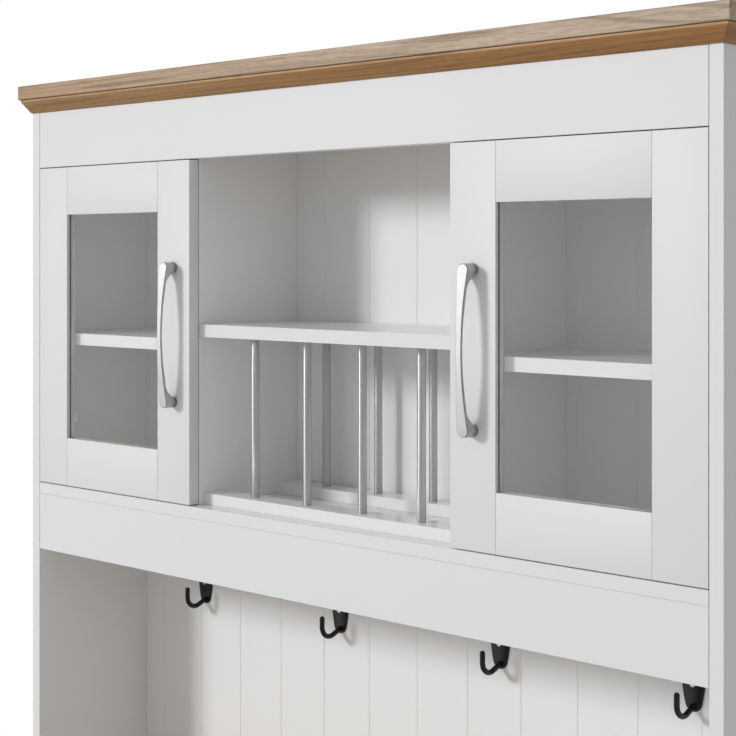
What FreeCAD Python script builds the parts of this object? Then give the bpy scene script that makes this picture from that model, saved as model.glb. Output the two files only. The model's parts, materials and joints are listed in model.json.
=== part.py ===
import FreeCAD, Part
import math
import os

# Kitchen buffet: a base cabinet with two doors and three drawers, and a hutch on its worktop with
# two glazed doors, an open centre with a plate rack, and a niche with cup hooks.
# Millimetres. +X is right as seen from the front, +Y is back, +Z is up.
# The origin is on the floor, at the centre of the overall box.

Vector = FreeCAD.Vector

# Boards and overall sizes
board = 16.0
back_board = 8.0
inner_width = 1101.0
centre_opening = 443.0
base_depth = 400.0
hutch_clear_depth = 200.0
base_height = 860.0
worktop_thick = 22.0
overhang = 15.6
rail_height = 80.0
niche_height = 470.0
hutch_door_opening = 455.0
crown_thick = 19.5

# Crown moulding
moulding_height = 19.5
moulding_foot = 2.0
moulding_reach = 13.0
moulding_lip = 3.0

# Back panel planks; the outermost two are half planks
plank_count = 13
groove_width = 1.8
groove_depth = 0.8
wall_hole_radius = 2.5
wall_hole_spacing = 900.0
wall_hole_drop = 35.0

# Framed doors and drawer fronts
door_gap = 1.3
stile = 64.1
rail = 67.4
joint_line = 0.6
infill_setback = 5.0
infill_slot = 4.0
slot_depth = 9.0
panel_play = 1.0

# Glass; its seal fills the rest of the slot
glass_thick = 3.0
glass_edge = 2.0

# Cup hinges
cup_radius = 17.5
cup_depth = 11.5
cup_wall = 2.0
cup_offset = 22.5
flange_radius = 19.0
flange_thick = 1.0
flange_length = 56.0
flange_width = 16.0
hinge_inset = 88.0
hinge_play = 0.3
arm_thick = 4.0
arm_width = 12.0
arm_length = 46.0
mount_plate_thick = 3.0
mount_plate_width = 20.0
mount_plate_length = 34.0

# Bow handles
handle_length = 192.0
handle_reach = 25.0
handle_end_reach = 17.3
handle_end_radius = 8.0
handle_waist = 8.0
handle_bar = 2.6
handle_post = 13.3
handle_flare_reach_shares = (0.36, 0.72)
handle_flare_length_shares = (0.833, 0.646)
hutch_handle_drop = 4.0
base_handle_drop = 162.0

# Shelves and their pins
shelf_thick = 16.5
centre_shelf_height = 221.1
side_shelf_height = 200.6
base_shelf_height = 350.0
shelf_play = 0.5
pin_radius = 2.5
pin_seat = 8.0
pin_reach = 7.0
pin_inset = 30.0
pin_rise = 5.0

# Plate rack
strip_height = 15.0
strip_depth = 37.0
front_strip_setback = 25.0
rear_strip_setback = 158.0
rod_radius = 5.3
rod_setback = 18.5
rod_seat = 6.0
rod_spacing = 94.6
rod_count = 4

# Cup hooks
hook_count = 4
hook_spacing = 275.4
hook_plate_thick = 2.0
hook_plate_width = 29.2
hook_plate_height = 57.0
hook_plate_drop = 91.0
hook_wire_radius = 3.4
hook_reach = 36.7
hook_bend_radius = 15.2
hook_root_rise = 7.2
hook_low_drop = 0.7
hook_tip_rise = 25.5
shield_width_shares = (0.428, 0.353)
shield_height_shares = (0.31, 0.14)
shield_shoulder_share = 0.56
hook_screw_rise = 32.0
screw_radius = 2.0
screw_head_radius = 4.2
screw_head_height = 2.4
screw_seat = 6.0
screw_slot = 0.9

# Drawers and their runners
drawer_count = 3
drawer_side = 12.0
drawer_base_thick = 5.0
drawer_base_rise = 10.0
drawer_lift = 20.0
drawer_headroom = 38.0
drawer_rear_gap = 26.0
runner_thick = 2.0
runner_height = 30.0
runner_flange = 14.0
runner_side_play = 0.7
runner_lift_play = 0.3
runner_setback = 4.0

# Stretchers and floor glides
stretcher_depth = 80.0
glide_height = 5.0
glide_radius = 7.0
glide_inset = 40.0

# One overrun for every cut
over = 1.0

# Planes across the width
x_inside = inner_width / 2
x_outside = x_inside + board
x_centre = centre_opening / 2
x_partition = x_centre + board

# Planes across the depth
y_back = (base_depth + handle_reach) / 2
y_inside = y_back - back_board
y_base = y_back - base_depth
y_hutch = y_inside - hutch_clear_depth
front_to_partition = board + door_gap

# Levels
z_bottom = glide_height + rail_height
z_base_doors = z_bottom + board
z_worktop = base_height - worktop_thick
z_stretcher = z_worktop - board
z_niche_rail = base_height + niche_height
z_floor = z_niche_rail + rail_height
z_hutch_doors = z_floor + board
z_frieze = z_hutch_doors + hutch_door_opening
z_moulding = z_frieze + rail_height
z_crown = z_moulding + moulding_height
z_top = z_crown + crown_thick


def block(x0, x1, y0, y1, z0, z1):
    return Part.makeBox(x1 - x0, y1 - y0, z1 - z0, Vector(x0, y0, z0))


def rod(radius, x, y, z, length, direction):
    return Part.makeCylinder(radius, length, Vector(x, y, z), Vector(*direction))


def mirrored(shape):
    return shape.mirror(Vector(0, 0, 0), Vector(1, 0, 0))


def save(node, *solids):
    shape = solids[0] if len(solids) == 1 else Part.makeCompound(list(solids))
    shape.exportStep("parts/" + node + ".step")


def save_pair(name, end, *solids):
    save(name + "_left" + end, *solids)
    save(name + "_right" + end, *[mirrored(solid) for solid in solids])


def prism(points, along):
    # A straight-sided outline, closed and carried along a vector.
    return Part.Face(Part.makePolygon(points + [points[0]])).extrude(along)


def arc(a, b, c):
    return Part.Arc(a, b, c).toShape()


def line(a, b):
    return Part.LineSegment(a, b).toShape()


def spaced(count, spacing):
    # Places along X, centred on the middle of the buffet.
    return [(i - (count - 1) / 2) * spacing for i in range(count)]


# Shelf pins of the left compartment, in the side panel and in the partition. They stand inside
# notches of the shelf, open below, so that they stay out of sight and the shelf can be lifted off.
def pins(y_front, z_shelf):
    z = z_shelf + pin_rise
    found = []
    for y in (y_front + pin_inset, y_inside - pin_inset):
        found.append(rod(pin_radius, -x_inside - pin_seat, y, z, pin_seat + pin_reach, (1, 0, 0)))
        found.append(rod(pin_radius, -x_partition + pin_seat, y, z, pin_seat + pin_reach, (-1, 0, 0)))
    return found


z_side_shelf = z_hutch_doors + side_shelf_height
z_base_shelf = z_base_doors + base_shelf_height
y_side_shelf = y_hutch + front_to_partition
y_base_shelf = y_base + front_to_partition
hutch_pins = pins(y_side_shelf, z_side_shelf)
base_pins = pins(y_base_shelf, z_base_shelf)


# Panels that both cabinets have
def side_panel(y_front, z0, z1, pin_set):
    return block(-x_outside, -x_inside, y_front, y_back, z0, z1).cut(pin_set)


def partition(y_front, z0, z1, pin_set):
    front = y_front + front_to_partition
    return block(-x_partition, -x_centre, front, y_inside, z0, z1).cut(pin_set)


def side_shelf(y_front, z, pin_set):
    x0, x1 = -x_inside + shelf_play, -x_partition - shelf_play
    notches = []
    for pin in pin_set:
        box = pin.BoundBox
        notches.append(block(box.XMin, box.XMax, box.YMin, box.YMax, z - over, z + pin_rise))
    shelf = block(x0, x1, y_front, y_inside - shelf_play, z, z + shelf_thick)
    return shelf.cut(pin_set + notches)


def across(y0, y1, z0, z1):
    return block(-x_inside, x_inside, y0, y1, z0, z1)


def make_base_carcass():
    save_pair("base_side", "", side_panel(y_base, glide_height, z_worktop, base_pins))
    save_pair("base_partition", "", partition(y_base, z_base_doors, z_stretcher, base_pins))
    save("base_plinth", across(y_base, y_base + board, glide_height, z_bottom))
    save("base_bottom_board", across(y_base, y_inside, z_bottom, z_base_doors))
    front = across(y_base, y_base + stretcher_depth, z_stretcher, z_worktop)
    rear = across(y_inside - stretcher_depth, y_inside, z_stretcher, z_worktop)
    save("base_stretchers", front, rear)
    save("base_back_panel", across(y_inside, y_back, glide_height, z_worktop))
    shelf = side_shelf(y_base_shelf, z_base_shelf, base_pins)
    save("base_shelves", shelf, mirrored(shelf))
    reach = x_outside + overhang
    save("worktop", block(-reach, reach, y_base - overhang, y_back, z_worktop, base_height))


def make_floor_glides():
    x_side = (x_inside + x_outside) / 2
    places = [(x_side, y_base + glide_inset), (x_side, y_back - glide_inset)]
    places.append((x_partition, y_base + board / 2))
    glides = [rod(glide_radius, x, y, 0, glide_height, (0, 0, 1)) for x, y in places]
    save("floor_glides", *(glides + [mirrored(glide) for glide in glides]))


# Back panel of the hutch: upright V grooves between the planks, and two holes for wall screws
def make_hutch_back(screws):
    panel = across(y_inside, y_back, base_height, z_crown)
    half = groove_width / 2
    low = base_height - over
    cuts = []
    for x in spaced(plank_count, inner_width / plank_count):
        points = [Vector(x - half, y_inside, low), Vector(x + half, y_inside, low)]
        points.append(Vector(x, y_inside + groove_depth, low))
        cuts.append(prism(points, Vector(0, 0, z_crown + over - low)))
    z = z_moulding - wall_hole_drop
    for x in spaced(2, wall_hole_spacing):
        cuts.append(rod(wall_hole_radius, x, y_inside - over, z, back_board + 2 * over, (0, 1, 0)))
    save("hutch_back_panel", panel.cut(cuts).cut(screws))


def make_hutch_carcass():
    save_pair("hutch_side", "", side_panel(y_hutch, base_height, z_moulding, hutch_pins))
    save_pair("hutch_partition", "", partition(y_hutch, z_hutch_doors, z_moulding - board, hutch_pins))
    save("hutch_frieze", across(y_hutch, y_hutch + board, z_frieze, z_moulding))
    save("hutch_top_panel", across(y_hutch + board, y_inside, z_moulding - board, z_moulding))
    save("hutch_floor_board", across(y_hutch, y_inside, z_floor, z_hutch_doors))
    save("niche_rail", across(y_hutch, y_hutch + board, z_niche_rail, z_floor))
    shelf = side_shelf(y_side_shelf, z_side_shelf, hutch_pins)
    save("hutch_side_shelves", shelf, mirrored(shelf))
    all_pins = hutch_pins + base_pins
    save("shelf_pins", *(all_pins + [mirrored(pin) for pin in all_pins]))


# Crown: a board on three mitred runs of slanted moulding
def make_crown():
    reach = x_outside + overhang
    save("crown_board", block(-reach, reach, y_hutch - overhang, y_back, z_crown, z_top))
    outline = [(-board, z_moulding), (moulding_foot, z_moulding)]
    outline += [(moulding_reach, z_crown - moulding_lip), (moulding_reach, z_crown), (-board, z_crown)]
    side = x_outside + moulding_reach
    front = y_hutch - moulding_reach
    width = moulding_reach + board
    level = Vector(0, 0, moulding_height)
    run = prism([Vector(-side, y_hutch - out, z) for out, z in outline], Vector(2 * side, 0, 0))
    plan = [Vector(-side, front, z_moulding), Vector(side, front, z_moulding)]
    plan += [Vector(side - width, front + width, z_moulding), Vector(width - side, front + width, z_moulding)]
    front_run = run.common(prism(plan, level))
    run = prism([Vector(-x_outside - out, front, z) for out, z in outline], Vector(0, y_back - front, 0))
    plan = [Vector(-side, front, z_moulding), Vector(width - side, front + width, z_moulding)]
    plan += [Vector(width - side, y_back, z_moulding), Vector(-side, y_back, z_moulding)]
    left_run = run.common(prism(plan, level))
    save("crown_moulding", front_run, left_run, mirrored(left_run))


# Plate rack: rods seated in two floor strips and in the centre shelf above them
def make_plate_rack():
    z_strip = z_hutch_doors + strip_height
    z_shelf = z_hutch_doors + centre_shelf_height
    rods = []
    for setback in (front_strip_setback, rear_strip_setback):
        for x in spaced(rod_count, rod_spacing):
            y = y_hutch + setback + rod_setback
            rods.append(rod(rod_radius, x, y, z_strip - rod_seat, z_shelf - z_strip + 2 * rod_seat, (0, 0, 1)))
    for name, setback in (("front", front_strip_setback), ("rear", rear_strip_setback)):
        y = y_hutch + setback
        strip = block(-x_centre, x_centre, y, y + strip_depth, z_hutch_doors, z_strip)
        save("rack_strip_" + name, strip.cut(rods))
    shelf = block(-x_centre, x_centre, y_hutch + front_to_partition, y_inside, z_shelf, z_shelf + shelf_thick)
    save("centre_shelf", shelf.cut(rods))
    save("rack_rods", *rods)


# A cup hook: a shield-shaped plate and a round J that leaves it near its foot
def hook_shape(x, z_foot):
    y = y_inside
    half = hook_plate_width / 2
    near, foot = [share * hook_plate_width for share in shield_width_shares]
    z_near, z_low = [z_foot + share * hook_plate_height for share in shield_height_shares]
    z_shoulder = z_foot + shield_shoulder_share * hook_plate_height
    z_head = z_foot + hook_plate_height
    edges = [arc(Vector(x - foot, y, z_low), Vector(x, y, z_foot), Vector(x + foot, y, z_low))]
    edges.append(arc(Vector(x + foot, y, z_low), Vector(x + near, y, z_near), Vector(x + half, y, z_shoulder)))
    edges.append(line(Vector(x + half, y, z_shoulder), Vector(x + half, y, z_head - half)))
    edges.append(arc(Vector(x + half, y, z_head - half), Vector(x, y, z_head), Vector(x - half, y, z_head - half)))
    edges.append(line(Vector(x - half, y, z_head - half), Vector(x - half, y, z_shoulder)))
    edges.append(arc(Vector(x - half, y, z_shoulder), Vector(x - near, y, z_near), Vector(x - foot, y, z_low)))
    plate = Part.Face(Part.Wire(edges)).extrude(Vector(0, -hook_plate_thick, 0))

    # The J runs straight to the tangent point of its bend, round the bend, and up to the tip.
    across_bend = hook_reach - hook_bend_radius
    rise_bend = hook_bend_radius - hook_low_drop - hook_root_rise
    span = math.hypot(across_bend, rise_bend)
    slope = math.atan2(rise_bend, across_bend) - math.asin(hook_bend_radius / span)
    run = math.sqrt(span ** 2 - hook_bend_radius ** 2)
    ahead = Vector(0, -math.cos(slope), math.sin(slope))
    root = Vector(x, y, z_foot + hook_root_rise)
    start = root - ahead * hook_wire_radius
    bend = root + ahead * run
    centre = root + Vector(0, -across_bend, rise_bend)
    middle_angle = (slope - math.pi / 2) / 2
    middle = centre + Vector(0, -math.cos(middle_angle), math.sin(middle_angle)) * hook_bend_radius
    up = centre + Vector(0, -hook_bend_radius, 0)
    tip = Vector(x, up.y, z_foot + hook_tip_rise)
    path = Part.Wire([line(start, bend), arc(bend, middle, up), line(up, tip)])
    section = Part.Wire(Part.makeCircle(hook_wire_radius, start, ahead))
    wire = path.makePipeShell([section], True, False)
    ball = Part.makeSphere(hook_wire_radius, tip)
    behind = block(x - half, x + half, y, y + hook_wire_radius * 4, z_foot - half, z_head)
    return plate.fuse([wire, ball]).cut(behind).removeSplitter()


def hook_screw(x, z):
    face = y_inside - hook_plate_thick
    head = rod(screw_head_radius, x, face - screw_head_height, z, screw_head_height, (0, 1, 0))
    dome_edge = [edge for edge in head.Edges if edge.BoundBox.YMax < face - screw_head_height / 2]
    head = head.makeFillet(screw_head_height / 2, dome_edge)
    arm = screw_head_radius / 2
    deep = face - screw_head_height / 2
    half = screw_slot / 2
    cross = [block(x - arm, x + arm, face - screw_head_height - over, deep, z - half, z + half)]
    cross.append(block(x - half, x + half, face - screw_head_height - over, deep, z - arm, z + arm))
    shank = rod(screw_radius, x, face, z, hook_plate_thick + screw_seat, (0, 1, 0))
    return head.fuse(shank).cut(cross), shank


def make_hooks():
    z_foot = z_niche_rail - hook_plate_drop
    places = spaced(hook_count, hook_spacing)
    pairs = [hook_screw(x, z_foot + hook_screw_rise) for x in places]
    shanks = [shank for screw, shank in pairs]
    save("cup_hooks", *[hook_shape(x, z_foot).cut(shanks) for x in places])
    save("hook_screws", *[screw for screw, shank in pairs])
    return shanks


# A bow handle, upright at the origin's height, with its feet on the plane y
def handle_shape(x, y, z):
    half = handle_length / 2
    flare = [Vector(0, -a * handle_reach, b * half)
             for a, b in zip(handle_flare_reach_shares, handle_flare_length_shares)]
    below = [Vector(point.x, point.y, -point.z) for point in flare]
    foot = half - handle_post
    crest = Vector(0, -handle_reach, 0)
    inner = Vector(0, handle_bar - handle_reach, 0)
    past = half + over
    top = Vector(0, -handle_end_reach, past)
    low = Vector(0, -handle_end_reach, -past)
    edges = [line(Vector(0, 0, -past), low), arc(low, crest, top), line(top, Vector(0, 0, past))]
    edges.append(line(Vector(0, 0, past), Vector(0, 0, foot)))
    edges.append(arc(Vector(0, 0, foot), flare[0], flare[1]))
    edges.append(arc(flare[1], inner, below[1]))
    edges.append(arc(below[1], below[0], Vector(0, 0, -foot)))
    edges.append(line(Vector(0, 0, -foot), Vector(0, 0, -past)))
    side_view = Part.Face(Part.Wire(edges))
    side_view.translate(Vector(-handle_end_radius - over, 0, 0))
    bowed = side_view.extrude(Vector(2 * (handle_end_radius + over), 0, 0))

    wide = handle_end_radius
    end = half - wide
    waist = handle_waist / 2
    front = -handle_reach - over
    edges = [arc(Vector(-wide, front, end), Vector(0, front, half), Vector(wide, front, end))]
    edges.append(arc(Vector(wide, front, end), Vector(waist, front, 0), Vector(wide, front, -end)))
    edges.append(arc(Vector(wide, front, -end), Vector(0, front, -half), Vector(-wide, front, -end)))
    edges.append(arc(Vector(-wide, front, -end), Vector(-waist, front, 0), Vector(-wide, front, end)))
    waisted = Part.Face(Part.Wire(edges)).extrude(Vector(0, handle_reach + 2 * over, 0))
    shape = bowed.common(waisted)
    shape.translate(Vector(x, y, z))
    return shape


def flat_handle(x, y, z):
    # The same handle turned to lie along X.
    shape = handle_shape(0, 0, 0)
    shape.rotate(Vector(0, 0, 0), Vector(0, 1, 0), 90)
    shape.translate(Vector(x, y, z))
    return shape


# A frame of two stiles and two rails, slotted all round for its glass or panel
def frame_solids(x0, x1, y, z0, z1):
    left, right = x0 + stile, x1 - stile
    low, high = z0 + rail, z1 - rail
    slot = block(left - slot_depth, right + slot_depth, y + infill_setback, y + infill_setback + infill_slot,
                 low - slot_depth, high + slot_depth)
    solids = [block(x0, left, y, y + board, z0, z1).cut(slot), block(right, x1, y, y + board, z0, z1).cut(slot)]
    for a, b in ((z0, low), (high, z1)):
        piece = block(left, right, y, y + board, a, b).cut(slot)
        ends = [block(left, left + joint_line, y, y + joint_line, a, b)]
        ends.append(block(right - joint_line, right, y, y + joint_line, a, b))
        solids.append(piece.cut(ends))
    return solids


def infill(x0, x1, y0, y1, z0, z1, lap):
    # A sheet in the frame of a front, lap wider than the open window on every side.
    return block(x0 + stile - lap, x1 - stile + lap, y0, y1, z0 + rail - lap, z1 - rail + lap)


# Cup hinges of a left door: cups let into the back of the stile, arms on the side panel
def hinge_cup(x, y_rear, z):
    cup = rod(cup_radius, x, y_rear - cup_depth, z, cup_depth, (0, 1, 0))
    flange = rod(flange_radius, x, y_rear, z, flange_thick, (0, 1, 0))
    half = flange_width / 2
    ears = block(x - half, x + half, y_rear, y_rear + flange_thick, z - flange_length / 2, z + flange_length / 2)
    hollow = rod(cup_radius - cup_wall, x, y_rear - cup_depth + cup_wall, z, cup_depth, (0, 1, 0))
    return cup.fuse([flange, ears]).cut(hollow), cup


def hinge_arm(x, y_rear, z):
    near = y_rear + flange_thick + hinge_play
    half = mount_plate_width / 2
    wall = -x_inside + mount_plate_thick
    plate = block(-x_inside, wall, near + arm_length - mount_plate_length, near + arm_length, z - half, z + half)
    half = arm_width / 2
    spine = block(wall, wall + arm_thick, near, near + arm_length, z - half, z + half)
    tip = block(wall, x + half, near, near + arm_thick, z - half, z + half)
    return plate.fuse([spine, tip]).removeSplitter()


def make_doors(name, y, z0, z1, glazed, handle_z):
    x0, x1 = -x_inside + door_gap, -x_centre
    z0, z1 = z0 + door_gap, z1 - door_gap
    solids = frame_solids(x0, x1, y, z0, z1)
    rear = y + board
    hinges = [hinge_cup(x0 + cup_offset, rear, z) for z in (z0 + hinge_inset, z1 - hinge_inset)]
    solids[0] = solids[0].cut([hole for cup, hole in hinges])
    save_pair(name, "_frame", *solids)
    save_pair(name, "_hinge_cups", *[cup for cup, hole in hinges])
    save_pair(name, "_handle", handle_shape(x1 - stile / 2, y, handle_z))
    y0 = y + infill_setback
    y1 = y0 + infill_slot
    if glazed:
        skin = (infill_slot - glass_thick) / 2
        glass = infill(x0, x1, y0 + skin, y1 - skin, z0, z1, slot_depth - glass_edge)
        ring = infill(x0, x1, y0, y1, z0, z1, slot_depth)
        window = block(x0 + stile, x1 - stile, y0 - over, y1 + over, z0 + rail, z1 - rail)
        ring = ring.cut([window, glass])
        save_pair(name, "_glass", glass)
        save_pair(name, "_seal", ring)
    else:
        save_pair(name, "_panel", infill(x0, x1, y0, y1, z0, z1, slot_depth - panel_play))
    return [hinge_arm(x0 + cup_offset, rear, z) for z in (z0 + hinge_inset, z1 - hinge_inset)]


# A drawer: framed front with its panel, a box behind it, and angle runners under the box sides
def make_drawer(name, z0, z1):
    x1 = x_centre - door_gap
    front = frame_solids(-x1, x1, y_base, z0, z1)
    y0 = y_base + infill_setback
    front.append(infill(-x1, x1, y0, y0 + infill_slot, z0, z1, slot_depth - panel_play))
    save(name + "_front", *front)
    save(name + "_handle", flat_handle(0, y_base + infill_setback, (z0 + z1) / 2))

    wide = x_centre - runner_thick - runner_side_play
    near = y_base + board
    far = y_inside - drawer_rear_gap
    low = z0 + drawer_lift
    high = z1 - drawer_headroom
    floor = low + drawer_base_rise
    side = block(-wide, drawer_side - wide, near, far, low, high)
    inner = wide - drawer_side
    box = [side, mirrored(side), block(-inner, inner, near, near + drawer_side, low, high)]
    box.append(block(-inner, inner, far - drawer_side, far, low, high))
    box.append(block(-inner, inner, near + drawer_side, far - drawer_side, floor, floor + drawer_base_thick))
    save(name + "_box", *box)

    rest = low - runner_lift_play
    start = near + runner_setback
    leg = block(-x_centre, runner_thick - x_centre, start, far, rest - runner_thick, rest + runner_height)
    flange = block(-x_centre, runner_flange - x_centre, start, far, rest - runner_thick, rest)
    runner = leg.fuse(flange).removeSplitter()
    return [runner, mirrored(runner)]


def make_drawers():
    room = z_stretcher - z_base_doors - (drawer_count + 1) * door_gap
    height = room / drawer_count
    runners = []
    for i, name in enumerate(("drawer_bottom", "drawer_middle", "drawer_top")):
        z0 = z_base_doors + door_gap + i * (height + door_gap)
        runners += make_drawer(name, z0, z0 + height)
    save("drawer_runners", *runners)


os.makedirs("parts", exist_ok=True)
make_base_carcass()
make_floor_glides()
make_hutch_carcass()
make_hutch_back(make_hooks())
make_crown()
make_plate_rack()
hutch_handle_z = z_hutch_doors + hutch_door_opening / 2 - hutch_handle_drop
arms = make_doors("hutch_door", y_hutch, z_hutch_doors, z_frieze, True, hutch_handle_z)
base_handle_z = z_stretcher - base_handle_drop
arms += make_doors("base_door", y_base, z_base_doors, z_stretcher, False, base_handle_z)
save("hinge_arms", *(arms + [mirrored(arm) for arm in arms]))
make_drawers()
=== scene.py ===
import json
import math
import bmesh
import bpy
import numpy as np
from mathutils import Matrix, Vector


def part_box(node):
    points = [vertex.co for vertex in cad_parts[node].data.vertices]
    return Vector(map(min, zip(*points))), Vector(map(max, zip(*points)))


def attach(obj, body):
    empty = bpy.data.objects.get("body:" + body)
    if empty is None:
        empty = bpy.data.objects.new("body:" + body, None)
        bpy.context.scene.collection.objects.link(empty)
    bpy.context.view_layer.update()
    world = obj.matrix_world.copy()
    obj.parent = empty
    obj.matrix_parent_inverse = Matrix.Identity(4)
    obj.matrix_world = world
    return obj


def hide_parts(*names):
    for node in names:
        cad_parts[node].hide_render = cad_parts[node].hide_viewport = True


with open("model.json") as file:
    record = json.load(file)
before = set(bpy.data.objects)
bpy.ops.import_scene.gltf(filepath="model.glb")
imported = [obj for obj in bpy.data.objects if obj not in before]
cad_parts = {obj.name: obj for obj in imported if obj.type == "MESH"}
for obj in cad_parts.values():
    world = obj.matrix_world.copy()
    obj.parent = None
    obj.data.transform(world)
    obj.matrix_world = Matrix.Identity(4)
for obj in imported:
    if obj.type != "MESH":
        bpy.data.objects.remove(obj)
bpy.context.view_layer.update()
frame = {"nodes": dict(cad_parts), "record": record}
print("frame loaded:", len(frame["nodes"]), "nodes")

# The photograph's view: where the camera stands, in metres from the middle of the hutch's front
# plane, how far it is turned to the left, and its focal length and centre in the 736 pixel frame
photoView = {
    "right": 1.3617, "ahead": 1.375, "height": 1.7532, "turn": 42.94,
    "framePixels": 736.0, "focalPixels": 1593.0, "centreX": 359.0, "horizonY": 256.25,
    "sensor": 36.0,
}


def makeCamera():
    data = bpy.data.cameras.new("photoCamera")
    side = photoView["framePixels"]
    data.sensor_width = photoView["sensor"]
    data.lens = photoView["focalPixels"] / side * photoView["sensor"]
    data.shift_x = (side / 2 - photoView["centreX"]) / side
    data.shift_y = (photoView["horizonY"] - side / 2) / side
    camera = bpy.data.objects.new("photoCamera", data)
    bpy.context.scene.collection.objects.link(camera)
    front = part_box("hutch_side_left")[0][1]
    camera.location = (photoView["right"], front - photoView["ahead"], photoView["height"])
    camera.rotation_euler = (math.pi / 2, 0, math.radians(photoView["turn"]))
    bpy.context.scene.camera = camera


makeCamera()


# Shader trees

def addNode(tree, kind, feeds=None, **settings):
    # feeds holds a value or an output socket for each input, by name or by number
    node = tree.nodes.new("ShaderNode" + kind)
    for key, value in settings.items():
        setattr(node, key, value)
    for key, value in (feeds or {}).items():
        if isinstance(value, bpy.types.NodeSocket):
            tree.links.new(value, node.inputs[key])
        else:
            node.inputs[key].default_value = value
    return node


def newGroup(name, inputs, outputs):
    group = bpy.data.node_groups.new(name, "ShaderNodeTree")
    for label, kind, value in inputs:
        socket = group.interface.new_socket(name=label, in_out="INPUT", socket_type="NodeSocket" + kind)
        if value is not None:
            socket.default_value = value
    for label, kind in outputs:
        group.interface.new_socket(name=label, in_out="OUTPUT", socket_type="NodeSocket" + kind)
    start = group.nodes.new("NodeGroupInput")
    end = group.nodes.new("NodeGroupOutput")
    return group, start.outputs, end.inputs


def placeGroup(tree, group, feeds):
    return addNode(tree, "Group", feeds, node_tree=group).outputs


def math1(tree, operation, a):
    return addNode(tree, "Math", {0: a}, operation=operation).outputs[0]


def math2(tree, operation, a, b, clamp=False):
    return addNode(tree, "Math", {0: a, 1: b}, operation=operation, use_clamp=clamp).outputs[0]


def partOf(tree, vector, axis):
    # One number of a vector: 0 is its X, 1 its Y and 2 its Z
    return addNode(tree, "SeparateXYZ", {0: vector}).outputs[axis]


def facing(tree, axis):
    # How far the surface looks along an axis of the object, from -1 to 1
    return partOf(tree, addNode(tree, "TexCoord").outputs["Normal"], axis)


def noise(tree, vector, scale, detail=2.0, rough=0.5):
    feeds = {"Vector": vector, "Scale": scale, "Detail": detail, "Roughness": rough}
    return addNode(tree, "TexNoise", feeds).outputs["Fac"]


def stretched(tree, vector, x, y, z):
    return addNode(tree, "Mapping", {"Vector": vector, "Scale": (x, y, z)}).outputs[0]


def spread(tree, value, low, high, toLow, toHigh):
    feeds = {"Value": value, "From Min": low, "From Max": high, "To Min": toLow, "To Max": toHigh}
    return addNode(tree, "MapRange", feeds).outputs["Result"]


def ramp(tree, value, stops):
    node = addNode(tree, "ValToRGB", {"Fac": value})
    marks = node.color_ramp.elements
    while len(marks) < len(stops):
        marks.new(0.5)
    for mark, (place, colour) in zip(marks, stops):
        mark.position = place
        mark.color = (*colour, 1)
    return node.outputs["Color"]


def blend(tree, share, a, b, how="MIX"):
    # From colour a to colour b
    return addNode(tree, "Mix", {0: share, 6: a, 7: b}, data_type="RGBA", blend_type=how).outputs[2]


def between(tree, share, a, b):
    # From number a to number b
    return addNode(tree, "Mix", {0: share, 2: a, 3: b}).outputs[0]


def shade(tree, colour, factor):
    # The colour times a grey or coloured factor that changes over the surface
    return blend(tree, 1.0, colour, factor, "MULTIPLY")


# Scales of the noises, per metre, and what the parts of the oak's tone weigh
cloudScale = {"coat": 6.0, "metal": 14.0}
noiseRange = (0.3, 0.7)  # where nearly all of a noise's values lie
grainLook = {
    "wide": (0.9, 28.0, 28.0), "lines": 90.0, "early": -0.6, "growth": 0.21,
    "streak": (5.0, 260.0, 260.0), "streaks": 0.70, "band": (1.2, 40.0, 40.0), "bands": 0.30,
    "pore": (42.0, 1500.0, 1500.0), "poreRange": (0.56, 0.66), "poreDepth": 0.6,
}
scratchLook = {"scale": 2600.0, "along": 0.02}


def makeCoatedSkin():
    # Lacquer, foil or enamel: wide soft clouds, and the fine dimples of a sprayed coat
    inputs = [("Vector", "Vector", None), ("Dimple", "Float", 900.0)]
    group, given, out = newGroup("coatedSkin", inputs, [("Clouds", "Float"), ("Height", "Float")])
    group.links.new(noise(group, given["Vector"], cloudScale["coat"], 4.0), out["Clouds"])
    group.links.new(noise(group, given["Vector"], given["Dimple"], 1.0), out["Height"])
    return group


def makeOakGrain():
    # Grain along the vector's X: growth lines are the level lines of a long stretched noise, and
    # streaks and short dark pores lie over them
    outputs = [("Tone", "Float"), ("Pores", "Float"), ("Height", "Float")]
    group, given, out = newGroup("oakGrain", [("Vector", "Vector", None)], outputs)
    place, g = given["Vector"], grainLook
    wide = noise(group, stretched(group, place, *g["wide"]), 1.0, 1.0, 0.3)
    waves = math1(group, "SINE", math2(group, "MULTIPLY", wide, g["lines"]))
    growth = spread(group, waves, -1.0, g["early"], 0.0, 1.0)
    streaks = noise(group, stretched(group, place, *g["streak"]), 1.0, 4.0, 0.6)
    bands = noise(group, stretched(group, place, *g["band"]), 1.0, 2.0, 0.5)
    tone = math2(group, "ADD", math2(group, "MULTIPLY", growth, g["growth"]),
                 math2(group, "MULTIPLY", streaks, g["streaks"]))
    tone = math2(group, "ADD", tone, math2(group, "MULTIPLY", bands, g["bands"]))
    dashes = noise(group, stretched(group, place, *g["pore"]), 1.0, 2.0, 0.6)
    pores = spread(group, dashes, *g["poreRange"], 0.0, 1.0)
    sunk = math2(group, "MULTIPLY", pores, g["poreDepth"])
    group.links.new(tone, out["Tone"])
    group.links.new(pores, out["Pores"])
    group.links.new(math2(group, "SUBTRACT", streaks, sunk), out["Height"])
    return group


def makeBrushing():
    # Long fine scratches along the vector's Z, with slow cloudy patches
    outputs = [("Scratches", "Float"), ("Clouds", "Float")]
    group, given, out = newGroup("brushing", [("Vector", "Vector", None)], outputs)
    along = stretched(group, given["Vector"], 1.0, 1.0, scratchLook["along"])
    group.links.new(noise(group, along, scratchLook["scale"]), out["Scratches"])
    group.links.new(noise(group, given["Vector"], cloudScale["metal"], 3.0), out["Clouds"])
    return group


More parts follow.
